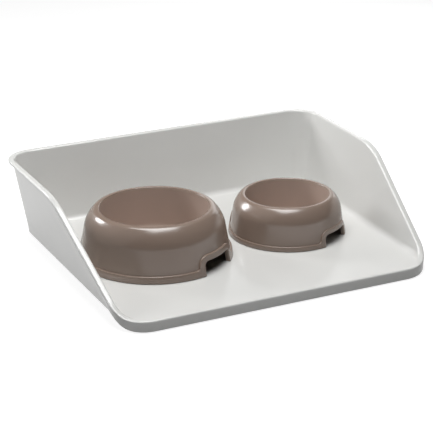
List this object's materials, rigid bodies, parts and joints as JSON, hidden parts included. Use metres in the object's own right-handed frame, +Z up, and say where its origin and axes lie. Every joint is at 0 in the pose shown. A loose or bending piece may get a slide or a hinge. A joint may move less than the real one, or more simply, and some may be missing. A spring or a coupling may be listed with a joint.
{
  "type": "double pet bowl",
  "caption": "High-backed plastic feeding tray with sloping sides and an open front, holding a large and a small loose round bowl with finger notches in their skirts.",
  "frame": {"origin": "on the ground, under the middle of the tray's width and depth", "axes": "+Z up, +X to the right along the tray's width as seen from its open front, +Y towards the high back wall"},
  "size_m": [0.448, 0.3624, 0.1117],
  "materials": {
    "tray_plastic": "glossy off-white moulded plastic",
    "bowl_plastic": "glossy taupe moulded plastic",
    "foot_rubber": "matt dark rubber"
  },
  "bodies": {
    "tray": {"tray": "tray_plastic", "tray_foot_front_left": "foot_rubber", "tray_foot_front_right": "foot_rubber", "tray_foot_back_left": "foot_rubber", "tray_foot_back_right": "foot_rubber"},
    "large_bowl": {"large_bowl": "bowl_plastic", "large_bowl_foot_right": "foot_rubber", "large_bowl_foot_back": "foot_rubber", "large_bowl_foot_left": "foot_rubber", "large_bowl_foot_front": "foot_rubber"},
    "small_bowl": {"small_bowl": "bowl_plastic", "small_bowl_foot_right": "foot_rubber", "small_bowl_foot_back": "foot_rubber", "small_bowl_foot_left": "foot_rubber", "small_bowl_foot_front": "foot_rubber"}
  },
  "joints": [
    {"name": "large_bowl_lift", "type": "slide", "parent": "tray", "child": "large_bowl", "axis": [0, 0, 1], "range_m": [0, 0.16]},
    {"name": "small_bowl_lift", "type": "slide", "parent": "tray", "child": "small_bowl", "axis": [0, 0, 1], "range_m": [0, 0.16]}
  ]
}
